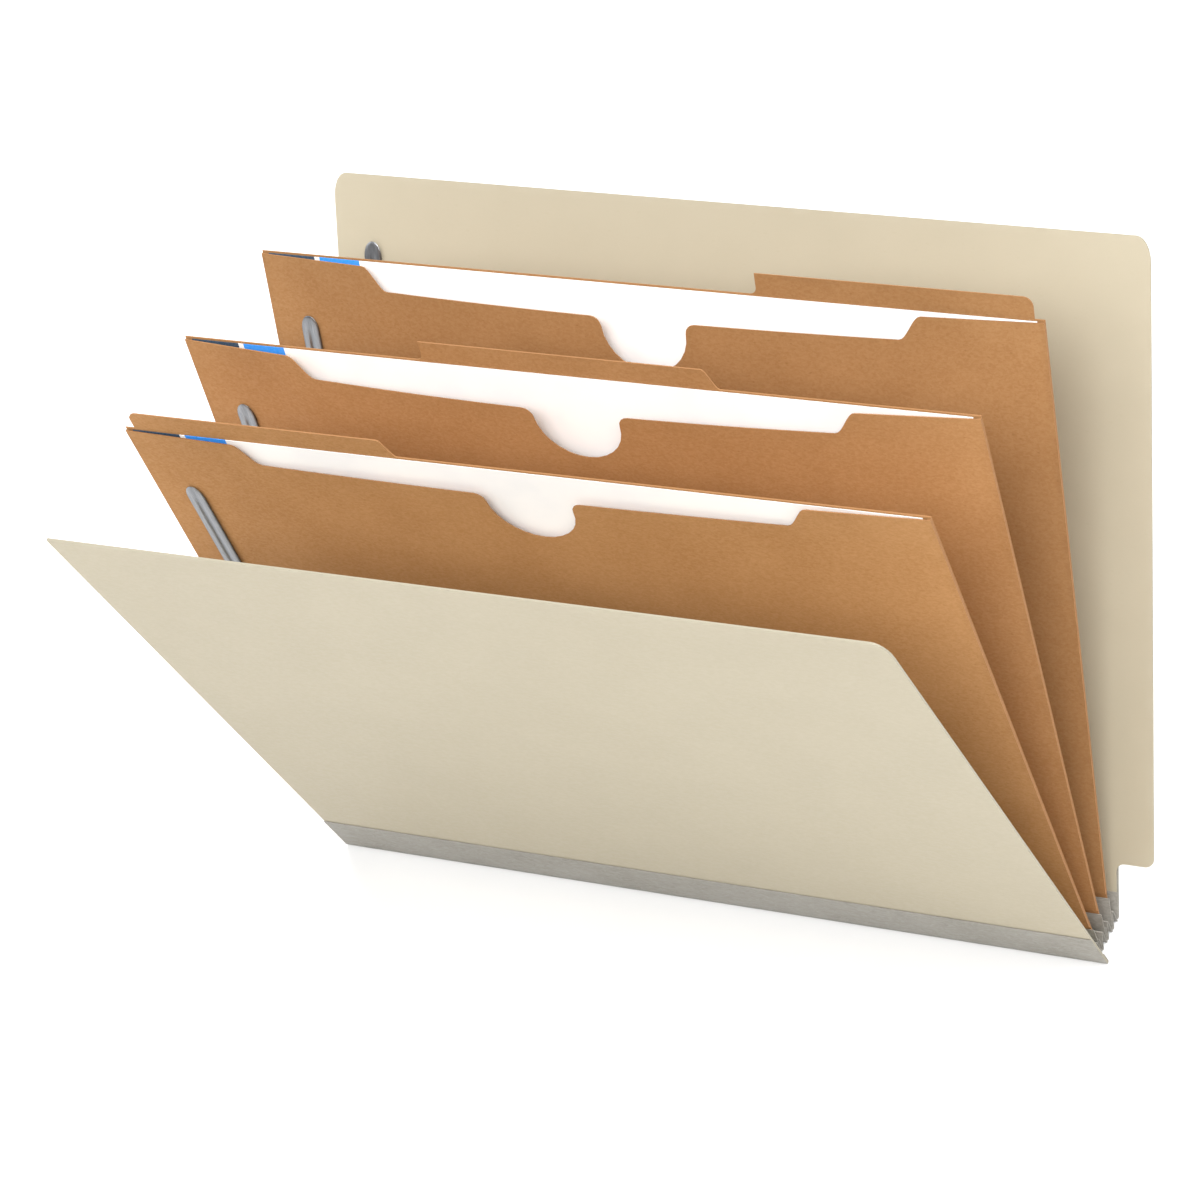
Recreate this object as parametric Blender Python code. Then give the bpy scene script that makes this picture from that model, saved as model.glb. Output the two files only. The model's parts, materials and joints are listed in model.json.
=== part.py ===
"""Classification folder standing open on its pleated spine: two board covers, three pocket
dividers with index tabs, loose sheets, prong fasteners and a folded fabric gusset."""
import math

import bmesh
import bpy
from mathutils import Matrix, Vector

MM = 0.001

# Covers: dense board. The rear one carries an end tab that overhangs the spine at the right.
SPINE_W = 298.0 * MM
COVER_H = 241.3 * MM
COVER_T = 0.65 * MM
FRONT_OVERHANG = 4.0 * MM
BACK_SHORTFALL = 0.5 * MM
END_TAB_W = 13.65 * MM
UNDERCUT_H = 20.5 * MM
COVER_CORNER_W = 5.0 * MM
COVER_CORNER_H = 9.0 * MM
FRONT_LEFT_R = 1.0 * MM
TAB_CORNER_R = 3.2 * MM

# Dividers: kraft sheets with a glued pocket on the front and one index tab each.
DIVIDER_T = 0.45 * MM
DIVIDER_INSET_LEFT = 3.5 * MM
DIVIDER_INSET_RIGHT = 1.0 * MM
DIVIDER_H = 233.6 * MM
INDEX_TAB_H = 7.7 * MM
INDEX_TAB_WIDTHS = (101.3 * MM, 109.4 * MM, 98.6 * MM)
INDEX_TAB_MARGIN = 3.6 * MM
MIDDLE_TAB_START = 93.4 * MM
INDEX_TAB_R = 3.3 * MM
INDEX_TAB_FILLET = 2.6 * MM
INDEX_TAB_RUN = 5.0 * MM

POCKET_T = 0.35 * MM
POCKET_BOTTOM = 15.0 * MM
POCKET_TOP_DROP = 0.8 * MM
SEAM_W = 1.2 * MM
SHOULDER_W = 42.0 * MM
SHOULDER_RUN = 8.5 * MM
MOUTH_DROP = 9.0 * MM
THUMB_X = 150.6 * MM
THUMB_R = 15.9 * MM
THUMB_LIP_R = 3.7 * MM
POCKET_BOWS = (3.0 * MM, 7.2 * MM, 6.8 * MM)
BOW_FADE = 26.0 * MM
BOW_POWER = 1.6
BOW_EDGE_POWER = 10.0
BOW_COLUMNS = 28
BOW_ROWS = 9
BOW_CROWDING = 1.7

SHEET_T = 0.2 * MM
SHEET_SIDE_CLEARANCE = 1.5 * MM
SHEET_FOOT_CLEARANCE = 1.0 * MM
SHEET_TOP_DROP = 0.6 * MM

# Gusset: one pleated fabric strip, bound round the lower edge of every panel.
FABRIC_T = 0.2 * MM
LEAF_L = 6.35 * MM
PITCH = 5.2 * MM
COVER_STRIP_H = 20.5 * MM
DIVIDER_STRIP_H = 13.0 * MM
INNER_STRIP_H = 10.0 * MM
REAR_LIP_H = 6.0 * MM

# Fasteners: a bonded steel strip with two flat prongs on standard punch centres.
PUNCH_CENTRES = 70.0 * MM
FASTENER_INSET = 15.0 * MM
PRONG_TIP_DROPS = (26.8 * MM, 26.8 * MM, 23.2 * MM, 24.1 * MM)
BASE_W = 8.4 * MM
BASE_OVERRUN = 5.0 * MM
BASE_T = 0.3 * MM
PRONG_W = 7.0 * MM
PRONG_L = 50.8 * MM
PRONG_TIP_L = 5.6 * MM
PRONG_T = 0.5 * MM
GROOVE_W = 2.0 * MM
GROOVE_D = 0.18 * MM
GROOVE_ROOT = 4.5 * MM
GROOVE_TIP = 6.5 * MM

GLUE_GAP = 0.15 * MM
FOLD_GAP = 0.25 * MM

# Lean of each panel from upright, front cover first, positive towards the front.
LEANS = tuple(math.radians(a) for a in (22.3, 11.0, 1.3, -10.8, -23.3))
PANELS = ("front_cover", "divider_1", "divider_2", "divider_3", "back_cover")
MIDDLE = 2

FRONT_W = SPINE_W + FRONT_OVERHANG
BACK_BODY_W = SPINE_W - BACK_SHORTFALL
OVERALL_W = BACK_BODY_W + END_TAB_W
DIVIDER_W = SPINE_W - DIVIDER_INSET_LEFT - DIVIDER_INSET_RIGHT
LAST_TAB_START = DIVIDER_W - INDEX_TAB_MARGIN - INDEX_TAB_WIDTHS[2]
INDEX_TAB_STARTS = (INDEX_TAB_MARGIN, MIDDLE_TAB_START, LAST_TAB_START)
FASTENER_TOPS = (DIVIDER_H, DIVIDER_H, DIVIDER_H, COVER_H)
FASTENER_RISE = PRONG_L + PUNCH_CENTRES / 2
FASTENER_MIDS = tuple(top - drop - FASTENER_RISE for top, drop in zip(FASTENER_TOPS, PRONG_TIP_DROPS))
FASTENER_EDGE = FASTENER_INSET + BASE_W / 2
POCKET_TOP = DIVIDER_H - POCKET_TOP_DROP
POCKET_TALL = POCKET_TOP - POCKET_BOTTOM
POCKET_DEEP = GLUE_GAP + SHEET_T
SHEET_INSET = SEAM_W + SHEET_SIDE_CLEARANCE
SHEET_BOTTOM = POCKET_BOTTOM + SEAM_W + SHEET_FOOT_CLEARANCE
SHEET_W = DIVIDER_W - 2 * SHEET_INSET
SHEET_H = DIVIDER_H - SHEET_TOP_DROP - SHEET_BOTTOM
BOW_SPAN = DIVIDER_W - 2 * SEAM_W
PANEL_FOOT = FABRIC_T + GLUE_GAP
SHEET_OUT = DIVIDER_T / 2 + GLUE_GAP + SHEET_T / 2
POCKET_OUT = DIVIDER_T / 2 + GLUE_GAP + POCKET_DEEP + POCKET_T / 2
LEFT = -OVERALL_W / 2


def srgb(r, g, b):
    """A display colour, 0 to 255, as linear values."""

    def linear(c):
        c = c / 255.0
        return c / 12.92 if c <= 0.04045 else ((c + 0.055) / 1.055) ** 2.4

    return (linear(r), linear(g), linear(b), 1.0)


BEIGE = srgb(214, 202, 178)
KRAFT = srgb(184, 132, 84)
FABRIC = srgb(158, 154, 145)
STEEL = srgb(150, 152, 155)
PAPER = srgb(250, 250, 250)


class Station:
    """Where a panel's lower edge stands on the floor, and how far it leans."""

    def __init__(self, index):
        self.lean = LEANS[index]
        self.thick = COVER_T if PANELS[index].endswith("cover") else DIVIDER_T
        self.half = self.thick / 2 + GLUE_GAP + FABRIC_T
        self.up = Vector((0.0, -math.sin(self.lean), math.cos(self.lean)))
        self.out = Vector((0.0, -math.cos(self.lean), -math.sin(self.lean)))
        self.foot = Vector((0.0, (index - MIDDLE) * PITCH, self.half * math.sin(abs(self.lean))))

    def at(self, x, up, out):
        """A point given along the spine, up the panel and out of its front."""
        return self.foot + Vector((LEFT + x, 0.0, 0.0)) + self.up * up + self.out * out

    def face(self, x, up, out):
        """Placement of a plate drawn in X and Y that lies in the panel."""
        turn = Matrix((Vector((1.0, 0.0, 0.0)), self.up, self.out)).transposed()
        return Matrix.Translation(self.at(x, up, out)) @ turn.to_4x4()

    def hinge(self, side):
        """Axis of the fold at floor level on the front (+1) or rear (-1) of the panel's foot."""
        reach = self.half * math.cos(self.lean) + FOLD_GAP / 2
        return Vector((0.0, self.foot.y - side * reach, FOLD_GAP / 2))


def make_stations():
    """All five panels, moved so that the whole folder is centred front to back."""
    made = [Station(index) for index in range(len(PANELS))]
    first, last = made[0].at(0.0, COVER_H, COVER_T / 2), made[-1].at(0.0, COVER_H, -COVER_T / 2)
    for station in made:
        station.foot.y -= (first.y + last.y) / 2
    return made


def find_ridge(index):
    """Top fold of the pleat between a panel and the panel behind it."""
    ahead, behind = stations[index].hinge(-1), stations[index + 1].hinge(1)
    span = ahead - behind
    rise = Vector((0.0, span.z, -span.y)).normalized()
    return (ahead + behind) / 2 + rise * math.sqrt(LEAF_L ** 2 - (span.length / 2) ** 2)


def make_pivots():
    """Empties on the fold lines, each carried by the one before it, outward from the middle."""
    add_pivot("spine", Vector((0.0, 0.0, 0.0)), None)
    holder = {MIDDLE: "spine"}
    for panel, way in ((1, 1), (0, 1), (3, -1), (4, -1)):
        inner = panel + way
        section = min(panel, inner) + 1
        near, far = ("rear", "front") if way > 0 else ("front", "rear")
        add_pivot(f"fold_{section}_{near}", stations[inner].hinge(way), holder[inner])
        add_pivot(f"fold_{section}_ridge", find_ridge(section - 1), f"fold_{section}_{near}")
        add_pivot(f"fold_{section}_{far}", stations[panel].hinge(-way), f"fold_{section}_ridge")
        holder[panel] = f"fold_{section}_{far}"
        leaf_holder[(section, near)] = f"fold_{section}_{near}"
        leaf_holder[(section, far)] = f"fold_{section}_ridge"
    return holder


def add_pivot(name, place, parent):
    empty = bpy.data.objects.new(name, None)
    empty.empty_display_size = PITCH
    empty.location = place
    if parent:
        empty.parent = pivots[parent][0]
        empty.location = place - pivots[parent][1]
    folder.objects.link(empty)
    pivots[name] = (empty, place)


def new_collection(name):
    made = bpy.data.collections.new(name)
    bpy.context.scene.collection.children.link(made)
    return made


def finish(obj, matrix, pivot, colour, roughness, metallic=0.0):
    """Places a piece, hangs it on its fold line and gives it its own material."""
    obj.parent, place = pivots[pivot]
    obj.matrix_parent_inverse = Matrix.Translation(-place)
    obj.matrix_basis = matrix
    mat = bpy.data.materials.new(obj.name)
    mat.use_nodes = True
    bsdf = mat.node_tree.nodes["Principled BSDF"]
    bsdf.inputs["Base Color"].default_value = colour
    bsdf.inputs["Roughness"].default_value = roughness
    bsdf.inputs["Metallic"].default_value = metallic
    mat.diffuse_color = colour
    obj.data.materials.clear()
    obj.data.materials.append(mat)
    folder.objects.link(obj)


def arc(cx, cy, r, start, end, steps=6):
    """Points on a circular arc, angles in degrees."""
    turns = [math.radians(start + (end - start) * i / steps) for i in range(steps + 1)]
    return [(cx + r * math.cos(t), cy + r * math.sin(t)) for t in turns]


def oval(cx, cy, wide, tall, start, end, steps=6):
    """Points on an arc that is stretched to a half width and a half height."""
    return [(cx + wide * a, cy + tall * b) for a, b in arc(0.0, 0.0, 1.0, start, end, steps)]


def ease(x0, y0, x1, y1, steps=8):
    """Points on an S-curve that leaves and arrives level."""
    shares = [i / steps for i in range(steps + 1)]
    return [(x0 + (x1 - x0) * s, y0 + (y1 - y0) * (3 * s * s - 2 * s ** 3)) for s in shares]


def oblong(width, tall):
    return [(0.0, 0.0), (width, 0.0), (width, tall), (0.0, tall)]


def plate(name, outline, thickness):
    """A flat outline in X and Y, extruded by half its thickness each way in Z."""
    curve = bpy.data.curves.new(name, "CURVE")
    curve.dimensions = "2D"
    curve.fill_mode = "BOTH"
    curve.extrude = thickness / 2
    spline = curve.splines.new("POLY")
    spline.points.add(len(outline) - 1)
    for point, (x, y) in zip(spline.points, outline):
        point.co = (x, y, 0.0, 1.0)
    spline.use_cyclic_u = True
    return as_mesh(bpy.data.objects.new(name, curve))


def as_mesh(made):
    """The same piece as a closed mesh with its seams welded."""
    name = made.name
    bpy.context.scene.collection.objects.link(made)
    graph = bpy.context.evaluated_depsgraph_get()
    mesh = bpy.data.meshes.new_from_object(made.evaluated_get(graph))
    bpy.data.objects.remove(made, do_unlink=True)
    mesh.name = name
    welded = bmesh.new()
    welded.from_mesh(mesh)
    bmesh.ops.remove_doubles(welded, verts=welded.verts, dist=1e-7)
    bmesh.ops.recalc_face_normals(welded, faces=welded.faces)
    welded.to_mesh(mesh)
    welded.free()
    return bpy.data.objects.new(name, mesh)


def combine(target, other, operation):
    """Cuts a cutter out of a piece, or joins a rim to it, and keeps the result as its mesh."""
    cutters.objects.link(other)
    other.hide_render = True
    other.display_type = "WIRE"
    step = target.modifiers.new("shape", "BOOLEAN")
    step.operation = operation
    step.solver = "EXACT"
    step.object = other
    return as_mesh(target)


def front_cover_outline():
    w, h, left, top = COVER_CORNER_W, COVER_CORNER_H, FRONT_LEFT_R, COVER_H - PANEL_FOOT
    points = [(0.0, 0.0), (FRONT_W, 0.0)]
    points += oval(FRONT_W - w, top - h, w, h, 0, 90)
    points += arc(left, top - left, left, 90, 180, 3)
    return points


def back_cover_outline():
    """Board with the end tab at its right, undercut above the spine."""
    w, h, t = COVER_CORNER_W, COVER_CORNER_H, TAB_CORNER_R
    low, top = UNDERCUT_H - PANEL_FOOT, COVER_H - PANEL_FOOT
    points = [(0.0, 0.0), (BACK_BODY_W, 0.0)]
    points += arc(BACK_BODY_W + t, low - t, t, 180, 90)
    points += arc(OVERALL_W - t, low + t, t, -90, 0)
    points += oval(OVERALL_W - w, top - h, w, h, 0, 90)
    points += oval(w, top - h, w, h, 90, 180)
    return points


def divider_outline(number):
    """A sheet with a raised index tab: round near the sheet's sides, eased or filleted elsewhere."""
    start = INDEX_TAB_STARTS[number - 1]
    end = start + INDEX_TAB_WIDTHS[number - 1]
    top = DIVIDER_H - PANEL_FOOT
    high, r, fillet = top + INDEX_TAB_H, INDEX_TAB_R, INDEX_TAB_FILLET
    points = [(0.0, 0.0), (DIVIDER_W, 0.0), (DIVIDER_W, top)]
    if number == 3:
        points += [(end, top)] + arc(end - r, high - r, r, 0, 90)
    else:
        points += ease(end, top, end - INDEX_TAB_RUN, high)
    if number == 1:
        points += arc(start + r, high - r, r, 90, 180) + [(start, top)]
    else:
        points += [(start, high)] + arc(start - fillet, top + fillet, fillet, 0, -90)
    return points + [(0.0, top)]


def pocket_outline():
    """The pocket's front: full-height shoulders, a lowered mouth and a thumb cut in its middle."""
    mouth = POCKET_TALL - MOUTH_DROP
    lip, bowl = THUMB_LIP_R, THUMB_R
    half = bowl + lip
    right = DIVIDER_W - SHOULDER_W
    points = [(0.0, 0.0), (DIVIDER_W, 0.0), (DIVIDER_W, POCKET_TALL)]
    points += ease(right, POCKET_TALL, right - SHOULDER_RUN, mouth)
    points += arc(THUMB_X + half, mouth - lip, lip, 90, 180, 4)
    points += arc(THUMB_X, mouth - lip, bowl, 0, -180, 14)
    points += arc(THUMB_X - half, mouth - lip, lip, 0, 90, 4)
    points += ease(SHOULDER_W + SHOULDER_RUN, mouth, SHOULDER_W, POCKET_TALL)
    points += [(0.0, POCKET_TALL)]
    return points


def bow_at(x, y):
    """Share of the bow at a point of the pocket front, held flat under the fastener."""
    across = min(max((x - SEAM_W) / BOW_SPAN, 0.0), 1.0)
    high = min(max(y / POCKET_TALL, 0.0), 1.0)
    free = min(max((x - FASTENER_EDGE) / BOW_FADE, 0.0), 1.0)
    power = BOW_EDGE_POWER + (BOW_POWER - BOW_EDGE_POWER) * free * free * (3 - 2 * free)
    return math.sin(math.pi * across) * high ** power


def bow_out(obj, rise):
    """Bends a flat pocket front so that the middle of its mouth stands away from the divider."""
    columns = [SEAM_W + BOW_SPAN * i / BOW_COLUMNS for i in range(BOW_COLUMNS + 1)]
    shares = [1 - (1 - i / BOW_ROWS) ** BOW_CROWDING for i in range(1, BOW_ROWS)]
    rows = [POCKET_TALL * share for share in shares]
    cuts = [((x, 0, 0), (1, 0, 0)) for x in columns] + [((0, y, 0), (0, 1, 0)) for y in rows]
    body = bmesh.new()
    body.from_mesh(obj.data)
    for point, normal in cuts:
        every = body.verts[:] + body.edges[:] + body.faces[:]
        bmesh.ops.bisect_plane(body, geom=every, dist=1e-6, plane_co=point, plane_no=normal)
    bmesh.ops.triangulate(body, faces=body.faces)
    for vert in body.verts:
        vert.co.z += rise * bow_at(vert.co.x, vert.co.y)
    body.to_mesh(obj.data)
    body.free()


def make_cover(index, outline):
    """Board cut to its outline, standing in the fold of its binding."""
    obj = plate(PANELS[index], outline, COVER_T)
    finish(obj, stations[index].face(0.0, PANEL_FOOT, 0.0), holders[index], BEIGE, 0.6)


def make_divider(number):
    """Kraft sheet, its pocket front with seams at the sides and foot, and the sheet inside it."""
    station, pivot = stations[number], holders[number]
    x = DIVIDER_INSET_LEFT
    obj = plate(f"divider_{number}", divider_outline(number), DIVIDER_T)
    finish(obj, station.face(x, PANEL_FOOT, 0.0), pivot, KRAFT, 0.8)

    pocket = plate(f"pocket_{number}", pocket_outline(), POCKET_T)
    inner = DIVIDER_W - SEAM_W
    seam = [(0.0, 0.0), (DIVIDER_W, 0.0), (DIVIDER_W, POCKET_TALL), (inner, POCKET_TALL)]
    seam += [(inner, SEAM_W), (SEAM_W, SEAM_W), (SEAM_W, POCKET_TALL), (0.0, POCKET_TALL)]
    rim = plate(f"pocket_{number}_seam", seam, POCKET_DEEP + POCKET_T)
    rim.matrix_basis = Matrix.Translation((0.0, 0.0, -POCKET_DEEP / 2))
    pocket = combine(pocket, rim, "UNION")
    bow_out(pocket, POCKET_BOWS[number - 1])
    finish(pocket, station.face(x, POCKET_BOTTOM, POCKET_OUT), pivot, KRAFT, 0.8)

    sheet = plate(f"sheet_{number}", oblong(SHEET_W, SHEET_H), SHEET_T)
    finish(sheet, station.face(x + SHEET_INSET, SHEET_BOTTOM, SHEET_OUT), pivot, PAPER, 0.6)


def make_fastener(index, left, surface):
    """Bonded steel base strip and its two flat prongs, lying along the panel's left side."""
    station, name, pivot = stations[index], PANELS[index], holders[index]
    middle = FASTENER_MIDS[index - 1]
    x, r, half, g = left + FASTENER_INSET, BASE_W / 2, PRONG_W / 2, GROOVE_W / 2
    reach = PUNCH_CENTRES / 2 + BASE_OVERRUN - r
    strip = arc(0.0, reach, r, 0, 180) + arc(0.0, -reach, r, 180, 360)
    base = plate(f"fastener_base_{name}", strip, BASE_T)
    rise = surface + GLUE_GAP + BASE_T / 2
    finish(base, station.face(x, middle, rise), pivot, STEEL, 0.35, 1.0)
    rise += BASE_T / 2 + GLUE_GAP + PRONG_T / 2
    blade = [(-half, 0.0), (half, 0.0)] + oval(0.0, PRONG_L - PRONG_TIP_L, half, PRONG_TIP_L, 0, 180, 10)
    slot = arc(0.0, PRONG_L - GROOVE_TIP - g, g, 0, 180) + arc(0.0, GROOVE_ROOT + g, g, 180, 360)
    for label, way in (("upper", 1), ("lower", -1)):
        prong = plate(f"prong_{label}_{name}", [(a, way * b) for a, b in blade], PRONG_T)
        groove = plate(f"groove_{label}_{name}", [(a, way * b) for a, b in slot], 2 * GROOVE_D)
        groove.matrix_basis = Matrix.Translation((0.0, 0.0, PRONG_T / 2))
        prong = combine(prong, groove, "DIFFERENCE")
        root = middle + way * PUNCH_CENTRES / 2
        finish(prong, station.face(x, root, rise), pivot, STEEL, 0.3, 1.0)


def run_along_spine(name, profile, length, place, up, pivot):
    """A profile drawn across the spine and run along it from its left end."""
    obj = plate(name, profile, length)
    out = Vector((0.0, -up.z, up.y))
    turn = Matrix((out, up, Vector((-1.0, 0.0, 0.0)))).transposed().to_4x4()
    middle = Vector((LEFT + length / 2, place.y, place.z))
    finish(obj, Matrix.Translation(middle) @ turn, pivot, FABRIC, 0.75)


def make_binding(index, length, front, rear):
    """Fabric folded round a panel's lower edge, with a lip up each side of the panel."""
    station = stations[index]
    outer, inner = station.half, station.half - FABRIC_T
    profile = [(-outer, 0.0), (outer, 0.0), (outer, front), (inner, front), (inner, FABRIC_T)]
    profile += [(-inner, FABRIC_T), (-inner, rear), (-outer, rear)]
    name = f"gusset_binding_{index + 1}"
    run_along_spine(name, profile, length, station.foot, station.up, holders[index])


def make_pleat(index):
    """Two fabric leaves that meet in a ridge between one panel and the panel behind it."""
    ridge = find_ridge(index)
    ahead, behind = stations[index].hinge(-1), stations[index + 1].hinge(1)
    for label, valley, side in (("rear", behind, 1), ("front", ahead, -1)):
        along = (ridge - valley).normalized()
        shift = side * Vector((0.0, -along.z, along.y)) * (FOLD_GAP + FABRIC_T) / 2
        low = valley + shift + along * FOLD_GAP / 2
        high = ridge - shift - along * FOLD_GAP / 2
        half, tall = FABRIC_T / 2, (high - low).length
        profile = [(-half, 0.0), (half, 0.0), (half, tall), (-half, tall)]
        pivot = leaf_holder[(index + 1, label)]
        up = (high - low).normalized()
        run_along_spine(f"gusset_leaf_{index + 1}_{label}", profile, SPINE_W, low, up, pivot)


for old in list(bpy.data.objects):
    bpy.data.objects.remove(old, do_unlink=True)
folder = new_collection("classification_folder")
cutters = new_collection("cutters")
cutters.hide_render = True
pivots, leaf_holder = {}, {}
stations = make_stations()
holders = make_pivots()

make_cover(0, front_cover_outline())
make_cover(4, back_cover_outline())
make_binding(0, FRONT_W, COVER_STRIP_H, REAR_LIP_H)
make_binding(4, SPINE_W, INNER_STRIP_H, COVER_STRIP_H)
make_fastener(4, 0.0, COVER_T / 2)
for number in (1, 2, 3):
    make_divider(number)
    make_binding(number, SPINE_W, DIVIDER_STRIP_H, REAR_LIP_H)
    make_fastener(number, DIVIDER_INSET_LEFT, POCKET_OUT + POCKET_T / 2)
for index in range(len(PANELS) - 1):
    make_pleat(index)
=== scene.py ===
import json
import math

import bmesh
import bpy
from mathutils import Matrix, Vector

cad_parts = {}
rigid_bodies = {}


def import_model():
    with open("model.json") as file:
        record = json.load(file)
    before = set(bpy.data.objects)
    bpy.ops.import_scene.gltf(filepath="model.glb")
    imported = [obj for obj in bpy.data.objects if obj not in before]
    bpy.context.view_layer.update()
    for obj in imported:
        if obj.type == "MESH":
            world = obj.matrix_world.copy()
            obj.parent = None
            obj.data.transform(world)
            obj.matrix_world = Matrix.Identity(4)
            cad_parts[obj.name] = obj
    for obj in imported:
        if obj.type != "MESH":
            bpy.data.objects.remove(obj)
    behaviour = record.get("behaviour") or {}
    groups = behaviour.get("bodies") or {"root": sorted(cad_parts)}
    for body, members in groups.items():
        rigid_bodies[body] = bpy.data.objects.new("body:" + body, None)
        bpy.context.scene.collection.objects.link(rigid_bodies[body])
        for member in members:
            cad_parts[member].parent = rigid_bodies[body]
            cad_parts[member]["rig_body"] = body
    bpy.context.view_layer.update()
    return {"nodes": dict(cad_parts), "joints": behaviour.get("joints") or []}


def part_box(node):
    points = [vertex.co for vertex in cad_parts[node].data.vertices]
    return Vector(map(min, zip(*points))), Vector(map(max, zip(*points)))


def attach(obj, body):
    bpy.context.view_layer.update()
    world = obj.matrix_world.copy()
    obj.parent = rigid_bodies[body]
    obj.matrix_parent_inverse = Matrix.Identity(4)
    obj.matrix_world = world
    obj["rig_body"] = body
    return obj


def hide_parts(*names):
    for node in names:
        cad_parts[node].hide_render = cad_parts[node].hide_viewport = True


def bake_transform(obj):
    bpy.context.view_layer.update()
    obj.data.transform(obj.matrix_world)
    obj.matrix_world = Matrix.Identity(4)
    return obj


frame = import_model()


# Covers: two pieces of dense, smooth, pale beige board, die-cut with rounded corners. The rear
# one carries the end tab. Their feet are glued into the fabric gusset.
BOARD_LIGHT = (175, 166, 145)
BOARD_DARK = (173, 164, 143)
# Painted shade: the board darkens towards its foot in this colour, which is also the colour of its
# flecks.
BOARD_FLECK_AND_FOOT_SHADE = (164, 154, 131)
BOARD_CUT = (144, 138, 121)
BOARD_RUBBED = (179, 171, 151)
BOARD_FLECK_SHARE = 0.16
BOARD_FOOT_SHADE_REACH = 0.17
BOARD_FOOT_SHADE_SHARE = 0.2
BOARD_RUB_REACH = 0.004
BOARD_RUB_SHARE = 0.45
BOARD_ROUGH = (0.48, 0.64)
BOARD_GLOSS = 0.32
BOARD_BUMP = (0.12, 0.00005)
NOISE_BAND = (0.3, 0.7)
FIBRE_BAND = (0.28, 0.72)
FLECK_SPREAD = 0.55
FLECK_SIZE = (0.26, 0.08)
FLECK_CHOICE = (0.72, 0.82)
FLECK_DENT = 0.4
CUT_BAND = (0.7, 0.3)
RUB_BAND = (0.35, 0.7)
FACES_FRONT = -0.3


def srgb(r, g, b):
    """A display colour, 0 to 255, as linear values."""

    def linear(c):
        c = c / 255.0
        return c / 12.92 if c <= 0.04045 else ((c + 0.055) / 1.055) ** 2.4

    return (linear(r), linear(g), linear(b), 1.0)


class Seat:
    """Where a flat piece lies: its lower left corner, its directions and its sizes."""

    def __init__(self, node):
        mesh = frame["nodes"][node].data
        facing = [p for p in mesh.polygons if p.normal.y < FACES_FRONT]
        self.out = max(facing, key=lambda p: p.area).normal.copy()
        self.up = self.out.cross(Vector((1.0, 0.0, 0.0))).normalized()
        along = [v.co.x for v in mesh.vertices]
        high = [v.co.dot(self.up) for v in mesh.vertices]
        deep = [v.co.dot(self.out) for v in mesh.vertices]
        self.wide, self.tall = max(along) - min(along), max(high) - min(high)
        self.thick = max(deep) - min(deep)
        self.corner = Vector((min(along), 0.0, 0.0)) + self.up * min(high)
        self.corner += self.out * (max(deep) + min(deep)) / 2

    def place(self):
        """Matrix from the piece's own width, height and thickness to the folder's frame."""
        turn = Matrix((Vector((1.0, 0.0, 0.0)), self.up, self.out)).transposed()
        return Matrix.Translation(self.corner) @ turn.to_4x4()


def plug(tree, value, socket):
    """Joins a socket to another, or sets its own value."""
    if isinstance(value, bpy.types.NodeSocket):
        tree.links.new(value, socket)
    else:
        socket.default_value = value


def add(tree, kind, inputs, **settings):
    """A new node with its settings and inputs."""
    node = tree.nodes.new(kind)
    for key, value in settings.items():
        setattr(node, key, value)
    for key, value in inputs.items():
        plug(tree, value, node.inputs[key])
    return node


def maths(tree, operation, a, b=0.0):
    """The result of one operation on two numbers."""
    return add(tree, "ShaderNodeMath", {0: a, 1: b}, operation=operation).outputs[0]


def fade(tree, value, low, high, to_low=0.0, to_high=1.0):
    """A smooth step from one level to another as a value rises from low to high."""
    levels = {"Value": value, "From Min": low, "From Max": high, "To Min": to_low, "To Max": to_high}
    return add(tree, "ShaderNodeMapRange", levels, interpolation_type="SMOOTHSTEP").outputs[0]


def tint(tree, share, a, b):
    """One colour turning into another."""
    return add(tree, "ShaderNodeMix", {0: share, 6: a, 7: b}, data_type="RGBA").outputs[2]


def new_group(name, inputs, outputs):
    """An empty node group with its sockets."""
    group = bpy.data.node_groups.new(name, "ShaderNodeTree")
    for label, kind in inputs:
        group.interface.new_socket(label, in_out="INPUT", socket_type="NodeSocket" + kind)
    for label, kind in outputs:
        group.interface.new_socket(label, in_out="OUTPUT", socket_type="NodeSocket" + kind)
    source, sink = group.nodes.new("NodeGroupInput"), group.nodes.new("NodeGroupOutput")
    return group, source.outputs, sink.inputs


def use_group(tree, group, inputs):
    """The outputs of a node group set into a material."""
    return add(tree, "ShaderNodeGroup", inputs, node_tree=group).outputs


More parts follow.
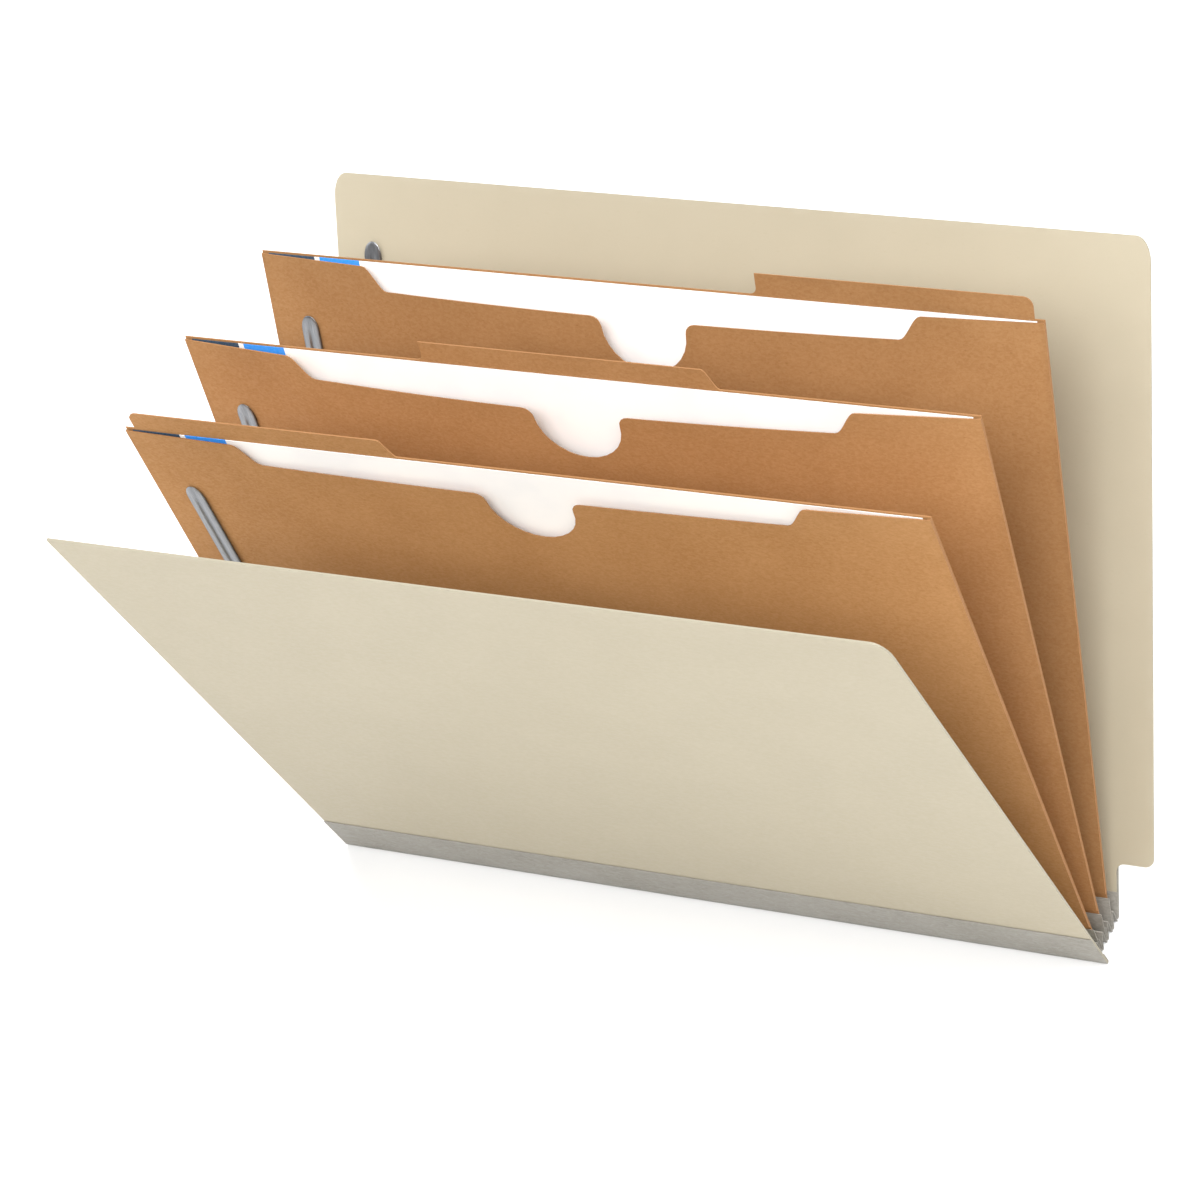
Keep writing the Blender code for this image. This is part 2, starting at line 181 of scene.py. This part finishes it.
def make_fibre_group():
    """Pulp fibres seen close: soft clouding, fine grain along the spine and a few darker flecks."""
    sockets = [("Grain", "Float"), ("Stretch", "Float"), ("Swirl", "Float")]
    results = [("Cloud", "Float"), ("Fibre", "Float"), ("Fleck", "Float"), ("Height", "Float")]
    tree, given, made = new_group("pulp_fibre", sockets, results)
    place = add(tree, "ShaderNodeTexCoord", {}).outputs["Object"]
    squeeze = maths(tree, "DIVIDE", 1.0, given["Stretch"])
    lengthen = add(tree, "ShaderNodeCombineXYZ", {0: squeeze, 1: 1.0, 2: 1.0}).outputs[0]
    drawn = add(tree, "ShaderNodeVectorMath", {0: place, 1: lengthen}, operation="MULTIPLY").outputs[0]
    broad = {"Vector": place, "Scale": 38.0, "Detail": 3.0, "Roughness": 0.55}
    cloud = fade(tree, add(tree, "ShaderNodeTexNoise", broad).outputs[0], *NOISE_BAND)
    fine = {"Vector": drawn, "Scale": given["Grain"], "Detail": 4.0, "Roughness": 0.62}
    fine["Distortion"] = given["Swirl"]
    fibre = fade(tree, add(tree, "ShaderNodeTexNoise", fine).outputs[0], *FIBRE_BAND)
    cells = {"Vector": drawn, "Scale": maths(tree, "MULTIPLY", given["Grain"], FLECK_SPREAD)}
    spots = add(tree, "ShaderNodeTexVoronoi", cells)
    small = fade(tree, spots.outputs["Distance"], *FLECK_SIZE)
    lot = add(tree, "ShaderNodeSeparateColor", {0: spots.outputs["Color"]}).outputs[0]
    fleck = maths(tree, "MULTIPLY", small, fade(tree, lot, *FLECK_CHOICE))
    dent = maths(tree, "MULTIPLY", fleck, FLECK_DENT)
    tree.links.new(cloud, made["Cloud"])
    tree.links.new(fibre, made["Fibre"])
    tree.links.new(fleck, made["Fleck"])
    tree.links.new(maths(tree, "SUBTRACT", fibre, dent), made["Height"])
    return tree


def make_cut_group():
    """Where a sheet shows its cut edge and not its face."""
    tree, given, made = new_group("cut_edge", [("Face", "Vector")], [("Mask", "Float")])
    normal = add(tree, "ShaderNodeTexCoord", {}).outputs["Normal"]
    facing = add(tree, "ShaderNodeVectorMath", {0: normal, 1: given["Face"]}, operation="DOT_PRODUCT")
    flat = maths(tree, "ABSOLUTE", facing.outputs["Value"])
    tree.links.new(fade(tree, flat, *CUT_BAND), made["Mask"])
    return tree


def make_place_group():
    """Distances along and up a panel from its lower left corner."""
    sockets = [("Corner", "Vector"), ("Up", "Vector")]
    tree, given, made = new_group("panel_place", sockets, [("Along", "Float"), ("High", "Float")])
    place = add(tree, "ShaderNodeTexCoord", {}).outputs["Object"]
    away = {0: place, 1: given["Corner"]}
    away = add(tree, "ShaderNodeVectorMath", away, operation="SUBTRACT").outputs[0]
    rise = add(tree, "ShaderNodeVectorMath", {0: away, 1: given["Up"]}, operation="DOT_PRODUCT")
    tree.links.new(add(tree, "ShaderNodeSeparateXYZ", {0: away}).outputs[0], made["Along"])
    tree.links.new(rise.outputs["Value"], made["High"])
    return tree


def make_wear_group():
    """Rubbing by hands along the open edges of a panel, broken up and fading inwards."""
    sockets = [(n, "Float") for n in ("Along", "High", "Wide", "Tall", "Reach")]
    tree, given, made = new_group("rubbed_rim", sockets, [("Mask", "Float")])
    right = maths(tree, "SUBTRACT", given["Wide"], given["Along"])
    top = maths(tree, "SUBTRACT", given["Tall"], given["High"])
    nearest = maths(tree, "MINIMUM", maths(tree, "MINIMUM", given["Along"], right), top)
    place = add(tree, "ShaderNodeTexCoord", {}).outputs["Object"]
    patchy = {"Vector": place, "Scale": 130.0, "Detail": 4.0}
    patchy = fade(tree, add(tree, "ShaderNodeTexNoise", patchy).outputs[0], *RUB_BAND)
    inwards = maths(tree, "DIVIDE", nearest, given["Reach"])
    tree.links.new(maths(tree, "MULTIPLY", fade(tree, inwards, 1.0, 0.0), patchy), made["Mask"])
    return tree


pulp_fibre, cut_edge = make_fibre_group(), make_cut_group()
panel_place, rubbed_rim = make_place_group(), make_wear_group()


def start_material(name):
    """A new material with its node tree and its shader."""
    mat = bpy.data.materials.new(name)
    mat.use_nodes = True
    return mat, mat.node_tree, mat.node_tree.nodes["Principled BSDF"]


def read_panel(tree, seat, rub_reach):
    """The height up a panel, how far its rim is rubbed and where its cut edge shows."""
    spot = use_group(tree, panel_place, {"Corner": seat.corner, "Up": seat.up})
    rim = {"Along": spot["Along"], "High": spot["High"], "Wide": seat.wide, "Tall": seat.tall}
    worn = use_group(tree, rubbed_rim, {**rim, "Reach": rub_reach})["Mask"]
    return spot["High"], worn, use_group(tree, cut_edge, {"Face": seat.out})["Mask"]


def join_surface(tree, bsdf, colour, rough, relief, bump):
    """Joins a colour, a roughness and a fine relief of some strength and depth to the shader."""
    plug(tree, colour, bsdf.inputs["Base Color"])
    plug(tree, rough, bsdf.inputs["Roughness"])
    raised = {"Height": relief, "Strength": bump[0], "Distance": bump[1]}
    plug(tree, add(tree, "ShaderNodeBump", raised).outputs[0], bsdf.inputs["Normal"])


def dress(obj, mat):
    """Gives a piece its one material."""
    obj.data.materials.clear()
    obj.data.materials.append(mat)


def board_material(node):
    """Calendered board: faint clouding, painted shade a little towards the foot, rubbed pale at its rim.
    """
    seat = Seat(node)
    mat, tree, bsdf = start_material(node + "_board")
    pulp = use_group(tree, pulp_fibre, {"Grain": 900.0, "Stretch": 2.0, "Swirl": 0.3})
    high, worn, cut = read_panel(tree, seat, BOARD_RUB_REACH)
    # Painted shade: the board is darkened a little towards its foot.
    low = fade(tree, high, BOARD_FOOT_SHADE_REACH, 0.0, 0.0, BOARD_FOOT_SHADE_SHARE)
    face = tint(tree, pulp["Cloud"], srgb(*BOARD_DARK), srgb(*BOARD_LIGHT))
    face = tint(tree, maths(tree, "MULTIPLY", pulp["Fleck"], BOARD_FLECK_SHARE), face, srgb(*BOARD_FLECK_AND_FOOT_SHADE))
    face = tint(tree, low, face, srgb(*BOARD_FLECK_AND_FOOT_SHADE))
    face = tint(tree, maths(tree, "MULTIPLY", worn, BOARD_RUB_SHARE), face, srgb(*BOARD_RUBBED))
    face = tint(tree, cut, face, srgb(*BOARD_CUT))
    rough = fade(tree, pulp["Fibre"], 0.0, 1.0, *BOARD_ROUGH)
    join_surface(tree, bsdf, face, rough, pulp["Height"], BOARD_BUMP)
    bsdf.inputs["Specular IOR Level"].default_value = BOARD_GLOSS
    return mat


for cover in ("front_cover", "back_cover"):
    dress(frame["nodes"][cover], board_material(cover))


# Dividers and their pockets: speckled brown kraft stock. Each divider has one raised index tab,
# and a pocket front is glued to it along both sides and the foot, so that its mouth bows open.
KRAFT_LIGHT = (169, 127, 84)
KRAFT_DARK = (153, 111, 69)
KRAFT_FLECK = (137, 96, 56)
# Painted shade: the stock darkens towards its foot in this colour.
KRAFT_FOOT_SHADE = (146, 102, 61)
KRAFT_CUT = (140, 101, 65)
# Painted light and shade: each divider's colour is scaled up or down for how much light reaches it.
KRAFT_LIGHTING_SCALES = {1: 1.14, 2: 1.02, 3: 0.88}
KRAFT_FIBRE_WEIGHT = 2.0
KRAFT_GRAIN_SHARE = 0.33
KRAFT_FLECK_SHARE = 0.4
KRAFT_FOOT_SHADE_REACH = 0.15
KRAFT_FOOT_SHADE_SHARE = 0.15
KRAFT_RUB_REACH = 0.003
KRAFT_RUB_SHARE = 0.3
KRAFT_ROUGH = (0.92, 0.72)
KRAFT_GLOSS = 0.2
KRAFT_BUMP = (0.25, 0.00008)
POCKET_CREASE = 35.0


def kraft_material(name, seat, lighting_scale):
    """Unbleached stock: speckled, with painted shade at its foot, a darker rim and painted light and
    shade per divider.
    """
    mat, tree, bsdf = start_material(name + "_kraft")
    pulp = use_group(tree, pulp_fibre, {"Grain": 1100.0, "Stretch": 1.6, "Swirl": 0.6})
    high, worn, cut = read_panel(tree, seat, KRAFT_RUB_REACH)
    # Painted shade: the stock is darkened a little towards its foot.
    low = fade(tree, high, KRAFT_FOOT_SHADE_REACH, 0.0, 0.0, KRAFT_FOOT_SHADE_SHARE)
    grain = maths(tree, "ADD", pulp["Cloud"], maths(tree, "MULTIPLY", pulp["Fibre"], KRAFT_FIBRE_WEIGHT))
    grain = maths(tree, "MULTIPLY", grain, KRAFT_GRAIN_SHARE)
    face = tint(tree, grain, srgb(*KRAFT_DARK), srgb(*KRAFT_LIGHT))
    face = tint(tree, maths(tree, "MULTIPLY", pulp["Fleck"], KRAFT_FLECK_SHARE), face, srgb(*KRAFT_FLECK))
    face = tint(tree, low, face, srgb(*KRAFT_FOOT_SHADE))
    face = tint(tree, maths(tree, "MULTIPLY", worn, KRAFT_RUB_SHARE), face, srgb(*KRAFT_CUT))
    # Painted light and shade: the colour is scaled for how brightly this divider is lit.
    face = add(tree, "ShaderNodeVectorMath", {0: face, "Scale": lighting_scale}, operation="SCALE").outputs[0]
    face = tint(tree, cut, face, srgb(*KRAFT_CUT))
    rough = fade(tree, pulp["Fibre"], 0.0, 1.0, *KRAFT_ROUGH)
    join_surface(tree, bsdf, face, rough, pulp["Height"], KRAFT_BUMP)
    bsdf.inputs["Specular IOR Level"].default_value = KRAFT_GLOSS
    return mat


for number in (1, 2, 3):
    divider, pocket = f"divider_{number}", f"pocket_{number}"
    stock = Seat(divider)
    dress(frame["nodes"][divider], kraft_material(divider, stock, KRAFT_LIGHTING_SCALES[number]))
    front = bpy.data.objects.new(f"pocket_front_{number}", frame["nodes"][pocket].data.copy())
    bpy.context.scene.collection.objects.link(front)
    front.data.shade_smooth()
    front.data.set_sharp_from_angle(angle=math.radians(POCKET_CREASE))
    dress(front, kraft_material(pocket, stock, KRAFT_LIGHTING_SCALES[number]))
    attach(front, frame["nodes"][pocket]["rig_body"])
    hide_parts(pocket)


# Loose sheets: white office paper, one in each pocket, printed with two plain bars of colour
# along the left end. They lie free between the divider and the pocket front.
PAPER_WHITE = (252, 252, 252)
PAPER_SHADE = (244, 245, 247)
PAPER_ROUGH = (0.55, 0.7)
PAPER_GLOSS = 0.25
PAPER_BUMP = (0.08, 0.00004)
INK_NAVY = (40, 66, 90)
INK_BLUE = (48, 148, 246)
INK_COVER = (0.95, 1.0)
NAVY_BAR = (0.0, 0.0185)
BLUE_BAR = (0.0205, 0.0365)


def paper_material(node):
    """Office paper: nearly pure white, with the bars of ink a little thinner between its fibres."""
    seat = Seat(node)
    mat, tree, bsdf = start_material(node + "_paper")
    pulp = use_group(tree, pulp_fibre, {"Grain": 1500.0, "Stretch": 1.2, "Swirl": 0.8})
    along = use_group(tree, panel_place, {"Corner": seat.corner, "Up": seat.up})["Along"]
    cover = fade(tree, pulp["Fibre"], 0.0, 1.0, *INK_COVER)
    face = tint(tree, pulp["Cloud"], srgb(*PAPER_SHADE), srgb(*PAPER_WHITE))
    for (left, right), ink in ((NAVY_BAR, INK_NAVY), (BLUE_BAR, INK_BLUE)):
        past = maths(tree, "GREATER_THAN", along, left)
        before = maths(tree, "LESS_THAN", along, right)
        laid = maths(tree, "MULTIPLY", maths(tree, "MULTIPLY", past, before), cover)
        face = tint(tree, laid, face, srgb(*ink))
    rough = fade(tree, pulp["Fibre"], 0.0, 1.0, *PAPER_ROUGH)
    join_surface(tree, bsdf, face, rough, pulp["Height"], PAPER_BUMP)
    bsdf.inputs["Specular IOR Level"].default_value = PAPER_GLOSS
    return mat


for number in (1, 2, 3):
    dress(frame["nodes"][f"sheet_{number}"], paper_material(f"sheet_{number}"))


# Gusset: grey spun-bonded fabric. A strip is folded round the foot of every panel and glued to
# both faces, and two leaves folded into a ridge join each panel to the next.
FABRIC_T = 0.0002
FABRIC_LIGHT = (154, 151, 143)
FABRIC_DARK = (136, 132, 124)
FABRIC_THREAD = (171, 168, 163)
FABRIC_THREAD_SHARE = 0.45
FABRIC_ROUGH = (0.62, 0.85)
FABRIC_GLOSS = 0.25
FABRIC_BUMP = (0.3, 0.00006)
FABRIC_CREASE = 40.0
SPINE_STEPS = 24
LIP_STEPS = 6
TURN_STEPS = 12
VALLEY_STEPS = 10
LEAF_STEPS = 6
RIDGE_STEPS = 8
VALLEY_START = 205.0
RIDGE_TOP = 90.0
FOLD_RADIUS = FABRIC_T * 1.1
PANEL_BODIES = {
    "front_cover": "front_cover_panel",
    "divider_1": "divider_1_panel",
    "divider_2": "spine",
    "divider_3": "divider_3_panel",
    "back_cover": "back_cover_panel",
}


def fabric_material():
    """Random fine filaments pressed flat, matte, with a slightly felted surface."""
    mat, tree, bsdf = start_material("gusset_fabric")
    warp = use_group(tree, pulp_fibre, {"Grain": 520.0, "Stretch": 2.6, "Swirl": 2.2})
    weft = use_group(tree, pulp_fibre, {"Grain": 1900.0, "Stretch": 0.4, "Swirl": 1.2})
    face = tint(tree, warp["Fibre"], srgb(*FABRIC_DARK), srgb(*FABRIC_LIGHT))
    lit = maths(tree, "MULTIPLY", weft["Fibre"], warp["Cloud"])
    face = tint(tree, maths(tree, "MULTIPLY", lit, FABRIC_THREAD_SHARE), face, srgb(*FABRIC_THREAD))
    rough = fade(tree, weft["Fibre"], 0.0, 1.0, *FABRIC_ROUGH)
    raised = maths(tree, "ADD", warp["Fibre"], weft["Fibre"])
    join_surface(tree, bsdf, face, rough, raised, FABRIC_BUMP)
    bsdf.inputs["Specular IOR Level"].default_value = FABRIC_GLOSS
    return mat


def run_fabric(name, path, left, right):
    """A strip of fabric that follows a path of (y, z) points and runs along the spine."""
    half = FABRIC_T / 2
    sides = []
    for i, (y, z) in enumerate(path):
        before, after = path[max(i - 1, 0)], path[min(i + 1, len(path) - 1)]
        run = Vector((after[0] - before[0], after[1] - before[1])).normalized()
        sides.append(((y - run.y * half, z + run.x * half), (y + run.y * half, z - run.x * half)))
    ring = [a for a, b in sides] + [b for a, b in reversed(sides)]
    body = bmesh.new()
    rows = []
    for k in range(SPINE_STEPS + 1):
        x = left + (right - left) * k / SPINE_STEPS
        rows.append([body.verts.new((x, y, z)) for y, z in ring])
    for near, far in zip(rows, rows[1:]):
        for i in range(len(ring)):
            j = (i + 1) % len(ring)
            body.faces.new((near[i], near[j], far[j], far[i]))
    last = len(ring) - 1
    for row in (rows[0], rows[-1]):
        for i in range(len(path) - 1):
            body.faces.new((row[i], row[i + 1], row[last - i - 1], row[last - i]))
    bmesh.ops.recalc_face_normals(body, faces=body.faces)
    mesh = bpy.data.meshes.new(name)
    body.to_mesh(mesh)
    body.free()
    mesh.shade_smooth()
    mesh.set_sharp_from_angle(angle=math.radians(FABRIC_CREASE))
    obj = bpy.data.objects.new(name, mesh)
    bpy.context.scene.collection.objects.link(obj)
    dress(obj, fabric)
    return obj


def bend(centre, start, end, radius_start, radius_end, side, steps):
    """Points on a fold about a line, by angle, mirrored front to back by side."""
    points = []
    for k in range(steps + 1):
        angle = math.radians(start + (end - start) * k / steps)
        radius = radius_start + (radius_end - radius_start) * k / steps
        points.append((centre.y + side * radius * math.cos(angle), centre.z + radius * math.sin(angle)))
    return points


def wrap_foot(number, panel):
    """Fabric turned round a panel's foot, up both of its faces."""
    node = f"gusset_binding_{number}"
    seat = Seat(panel)
    corners = [v.co for v in frame["nodes"][node].data.vertices]
    deep = [c.dot(seat.out) for c in corners]
    middle, foot = (max(deep) + min(deep)) / 2, min(c.dot(seat.up) for c in corners)
    front = max(c.dot(seat.up) for c in corners if c.dot(seat.out) > middle) - foot
    rear = max(c.dot(seat.up) for c in corners if c.dot(seat.out) < middle) - foot
    reach = (max(deep) - min(deep)) / 2 - FABRIC_T / 2
    low = reach + FABRIC_T / 2
    turn = [math.radians(180.0 + 180.0 * k / TURN_STEPS) for k in range(TURN_STEPS + 1)]
    line = [(-reach, rear - (rear - low) * k / LIP_STEPS) for k in range(LIP_STEPS)]
    line += [(reach * math.cos(a), low + reach * math.sin(a)) for a in turn]
    line += [(reach, low + (front - low) * k / LIP_STEPS) for k in range(1, LIP_STEPS + 1)]
    spots = [seat.up * (foot + u) + seat.out * (middle + o) for o, u in line]
    left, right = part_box(node)[0].x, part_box(node)[1].x
    strip = run_fabric(f"gusset_wrap_{number}", [(p.y, p.z) for p in spots], left, right)
    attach(strip, PANEL_BODIES[panel])
    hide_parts(node)


def hang_leaf(fold, leaf_body, ridge):
    """One leaf of a pleat, with its fold at the panel's foot and its half of the ridge."""
    node = leaf_body[: -len("_body")]
    seat, valley = Seat(node), Vector(fold["pos_m"])
    low, high = seat.corner, seat.corner + seat.up * seat.tall
    side = math.copysign(1.0, low.y - valley.y)
    over = math.copysign(1.0, high.y - ridge.y)
    foot = math.degrees(math.atan2(low.z - valley.z, side * (low.y - valley.y)))
    head = math.degrees(math.atan2(high.z - ridge.z, over * (high.y - ridge.y)))
    bottom = math.hypot(low.y - valley.y, low.z - valley.z)
    top = math.hypot(high.y - ridge.y, high.z - ridge.z)
    path = bend(valley, VALLEY_START, 360.0 + foot, FOLD_RADIUS, bottom, side, VALLEY_STEPS)
    for k in range(1, LEAF_STEPS):
        y = low.y + (high.y - low.y) * k / LEAF_STEPS
        z = low.z + (high.z - low.z) * k / LEAF_STEPS
        path.append((y, z))
    path += bend(ridge, head, RIDGE_TOP, top, FOLD_RADIUS, over, RIDGE_STEPS)
    left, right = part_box(node)[0].x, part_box(node)[1].x
    leaf = run_fabric("pleat_" + node[len("gusset_"):], path, left, right)
    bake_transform(leaf)
    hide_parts(node)


fabric = fabric_material()
for number, panel in enumerate(PANEL_BODIES, 1):
    wrap_foot(number, panel)
folds = {joint["name"]: joint for joint in frame["joints"]}
for section in (1, 2, 3, 4):
    top = Vector(folds[f"section_{section}_ridge"]["pos_m"])
    inner, outer = folds[f"section_{section}_open"], folds[f"section_{section}_panel"]
    hang_leaf(inner, inner["child"], top)
    hang_leaf(outer, outer["parent"], top)


# Fasteners: pressed steel. A flat strip is bonded to the panel, and a long prong with a round
# tip and a rolled groove folds out flat from each of its ends.
STEEL_LIGHT = (160, 162, 165)
STEEL_DARK = (128, 130, 134)
# Painted shade: the colour laid along the strip's rim and in a prong's groove.
STEEL_RIM_AND_GROOVE_SHADE = (96, 98, 102)
STEEL_LINES = (9000.0, 260.0, 260.0)
STEEL_ROUGH = (0.28, 0.42)
STEEL_BUMP = (0.06, 0.00002)
RIM_INNER = 0.0009
RIM_OUTER = 0.0001
RIM_SHADE_SHARE = 0.5
PRONG_TIP = 0.0056
PRONG_EDGE = 0.0011
BASE_EDGE = 0.0005
GROOVE_HALF = 0.0012
GROOVE_CORE = 0.35
GROOVE_SHADE_SHARE = 0.3
GROOVE_DEEP = 0.00028
GROOVE_START = 0.0035
GROOVE_STOP = 0.0068
GROOVE_RAMP = 0.002
ROUND_STEPS = 10
ROOT_STEPS = 4
SHANK_STEPS = 16
ACROSS_STEPS = 12
WELD = 1e-6
SLIVER = 1e-7


def steel_material(name, seat, prong):
    """Rolled strip: fine lines along its length, painted shade along its rim and in a prong's groove."""
    mat, tree, bsdf = start_material(name)
    place = add(tree, "ShaderNodeTexCoord", {}).outputs["Object"]
    drawn = add(tree, "ShaderNodeVectorMath", {0: place, 1: STEEL_LINES}, operation="MULTIPLY").outputs[0]
    lines = add(tree, "ShaderNodeTexNoise", {"Vector": drawn, "Scale": 1.0, "Detail": 3.0}).outputs[0]
    lines = fade(tree, lines, *NOISE_BAND)
    along = use_group(tree, panel_place, {"Corner": seat.corner, "Up": seat.up})["Along"]
    across = maths(tree, "ABSOLUTE", maths(tree, "SUBTRACT", along, seat.wide / 2))
    # Painted shade: the strip is darkened along its rim.
    rim = fade(tree, across, seat.wide / 2 - RIM_INNER, seat.wide / 2 - RIM_OUTER)
    face = tint(tree, lines, srgb(*STEEL_DARK), srgb(*STEEL_LIGHT))
    face = tint(tree, maths(tree, "MULTIPLY", rim, RIM_SHADE_SHARE), face, srgb(*STEEL_RIM_AND_GROOVE_SHADE))
    if prong:
        # Painted shade: the prong is darkened in its groove.
        shade = fade(tree, across, GROOVE_HALF, GROOVE_HALF * GROOVE_CORE)
        face = tint(tree, maths(tree, "MULTIPLY", shade, GROOVE_SHADE_SHARE), face, srgb(*STEEL_RIM_AND_GROOVE_SHADE))
    join_surface(tree, bsdf, face, fade(tree, lines, 0.0, 1.0, *STEEL_ROUGH), lines, STEEL_BUMP)
    bsdf.inputs["Metallic"].default_value = 1.0
    return mat


def clamp(value):
    """A number held between 0 and 1."""
    return min(max(value, 0.0), 1.0)


def press_strip(name, node, way, tip_long, edge, prong):
    """A strip with eased edges: a prong has a square root and a groove, a base has two round ends."""
    seat = Seat(node)
    half, long, thick = seat.wide / 2, seat.tall, seat.thick / 2
    arc = [math.radians(90.0 * k / ROUND_STEPS) for k in range(ROUND_STEPS + 1)]
    tip = [(long - tip_long + tip_long * math.sin(a), half * math.cos(a)) for a in arc]
    root = [(half - half * math.sin(a), half * math.cos(a)) for a in reversed(arc)]
    if prong:
        root = [(edge * k / ROOT_STEPS, half) for k in range(ROOT_STEPS + 1)]
    start, stop = root[-1][0], tip[0][0]
    shank = [(start + (stop - start) * k / SHANK_STEPS, half) for k in range(1, SHANK_STEPS)]
    turns = range(-ACROSS_STEPS, ACROSS_STEPS + 1)
    across = [math.sin(math.radians(90.0 * k / ACROSS_STEPS)) for k in turns]

    def levels(x, y):
        """Heights of the upper and lower faces above the strip's middle."""
        inside = half - abs(x)
        if y > long - tip_long:
            inside = half * (1.0 - math.hypot(x / half, (y - long + tip_long) / tip_long))
        if prong:
            inside = min(inside, y)
        elif y < half:
            inside = half - math.hypot(x, half - y)
        lift = thick * math.sqrt(1.0 - (1.0 - clamp(inside / edge)) ** 2)
        if not prong:
            return lift, -lift
        ends = clamp((y - GROOVE_START) / GROOVE_RAMP)
        ends *= clamp((long - GROOVE_STOP + GROOVE_RAMP - y) / GROOVE_RAMP)
        trough = max(1.0 - (x / GROOVE_HALF) ** 2, 0.0) * ends * ends * (3.0 - 2.0 * ends)
        return lift - GROOVE_DEEP * trough, -lift

    body = bmesh.new()
    upper, lower = [], []
    for y, wide in root + shank + tip:
        for side, lines in enumerate((upper, lower)):
            spots = [(t * wide, way * y, levels(t * wide, y)[side]) for t in across]
            lines.append([body.verts.new(spot) for spot in spots])
    for lines in (upper, lower):
        for near, far in zip(lines, lines[1:]):
            for i in range(len(across) - 1):
                body.faces.new((near[i], near[i + 1], far[i + 1], far[i]))
    bmesh.ops.remove_doubles(body, verts=body.verts, dist=WELD)
    bmesh.ops.dissolve_degenerate(body, edges=body.edges, dist=SLIVER)
    bmesh.ops.recalc_face_normals(body, faces=body.faces)
    mesh = bpy.data.meshes.new(name)
    body.to_mesh(mesh)
    body.free()
    mesh.transform(seat.place() @ Matrix.Translation((half, 0.0 if way > 0 else long, 0.0)))
    mesh.shade_smooth()
    obj = bpy.data.objects.new(name, mesh)
    bpy.context.scene.collection.objects.link(obj)
    dress(obj, steel_material(name + "_steel", seat, prong))
    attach(obj, frame["nodes"][node]["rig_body"])
    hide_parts(node)


for panel in ("divider_1", "divider_2", "divider_3", "back_cover"):
    base = f"fastener_base_{panel}"
    press_strip(f"base_strip_{panel}", base, 1.0, Seat(base).wide / 2, BASE_EDGE, False)
    press_strip(f"upper_prong_{panel}", f"prong_upper_{panel}", 1.0, PRONG_TIP, PRONG_EDGE, True)
    press_strip(f"lower_prong_{panel}", f"prong_lower_{panel}", -1.0, PRONG_TIP, PRONG_EDGE, True)


# Studio: a plain pale floor under soft, even light from all round, and a long-lens camera that
# looks down on the open folder from its front right, tipped a little to one side.
FLOOR_SPAN = 6.0
FLOOR_DROP = 0.0003
FLOOR_COLOUR = (221, 221, 221)
FLOOR_ROUGH = (0.85, 0.95)
AIR_COLOUR = (1.0, 1.0, 1.0, 1.0)
AIR_STRENGTH = 0.22
SOFTBOX_SIZE = 1.6
SOFTBOX_AIM = Vector((0.0, 0.0, 0.12))
SOFTBOXES = {
    "key_softbox": ((0.885, -1.264, 1.958), 52.0),
    "front_softbox": ((0.0, -1.543, 1.958), 30.0),
    "left_softbox": ((-1.8, -1.04, 1.32), 16.5),
    "right_softbox": ((1.595, 0.58, 1.817), 66.0),
    "rear_softbox": ((-0.992, 1.182, 1.958), 48.0),
}
CAMERA_PLACE = Vector((0.69728, -1.00934, 1.09224))
CAMERA_RIGHT = Vector((0.88179, 0.41492, -0.22424))
CAMERA_UP = Vector((-0.11064, 0.64416, 0.75684))
FOCAL_PIXELS = 4600.1
PICTURE_PIXELS = 1200.0
SENSOR = 36.0

floor_mesh = bpy.data.meshes.new("studio_floor")
reach = FLOOR_SPAN / 2
corners = [(-reach, -reach), (reach, -reach), (reach, reach), (-reach, reach)]
floor_mesh.from_pydata([(x, y, -FLOOR_DROP) for x, y in corners], [], [(0, 1, 2, 3)])
floor = bpy.data.objects.new("studio_floor", floor_mesh)
bpy.context.scene.collection.objects.link(floor)
paint, tree, bsdf = start_material("studio_floor_paint")
place = add(tree, "ShaderNodeTexCoord", {}).outputs["Object"]
mottle = add(tree, "ShaderNodeTexNoise", {"Vector": place, "Scale": 3.0, "Detail": 2.0}).outputs[0]
plug(tree, fade(tree, mottle, *NOISE_BAND, *FLOOR_ROUGH), bsdf.inputs["Roughness"])
bsdf.inputs["Base Color"].default_value = srgb(*FLOOR_COLOUR)
bsdf.inputs["Specular IOR Level"].default_value = 0.0
dress(floor, paint)

world = bpy.data.worlds.new("studio_air")
world.use_nodes = True
world.node_tree.nodes["Background"].inputs["Color"].default_value = AIR_COLOUR
world.node_tree.nodes["Background"].inputs["Strength"].default_value = AIR_STRENGTH
bpy.context.scene.world = world
bpy.context.scene.view_settings.view_transform = "Standard"

for name, (spot, power) in SOFTBOXES.items():
    lamp_data = bpy.data.lights.new(name, "AREA")
    lamp_data.shape = "DISK"
    lamp_data.size = SOFTBOX_SIZE
    lamp_data.energy = power
    lamp = bpy.data.objects.new(name, lamp_data)
    lamp.location = spot
    lamp.rotation_mode = "QUATERNION"
    lamp.rotation_quaternion = (SOFTBOX_AIM - Vector(spot)).to_track_quat("-Z", "Y")
    bpy.context.scene.collection.objects.link(lamp)

camera_data = bpy.data.cameras.new("photo_camera")
camera_data.sensor_width = SENSOR
camera_data.lens = FOCAL_PIXELS / PICTURE_PIXELS * SENSOR
camera = bpy.data.objects.new("photo_camera", camera_data)
backward = CAMERA_RIGHT.cross(CAMERA_UP).normalized()
sideways = CAMERA_UP.cross(backward).normalized()
turn = Matrix((sideways, backward.cross(sideways), backward)).transposed()
camera.matrix_world = Matrix.Translation(CAMERA_PLACE) @ turn.to_4x4()
bpy.context.scene.collection.objects.link(camera)
bpy.context.scene.camera = camera
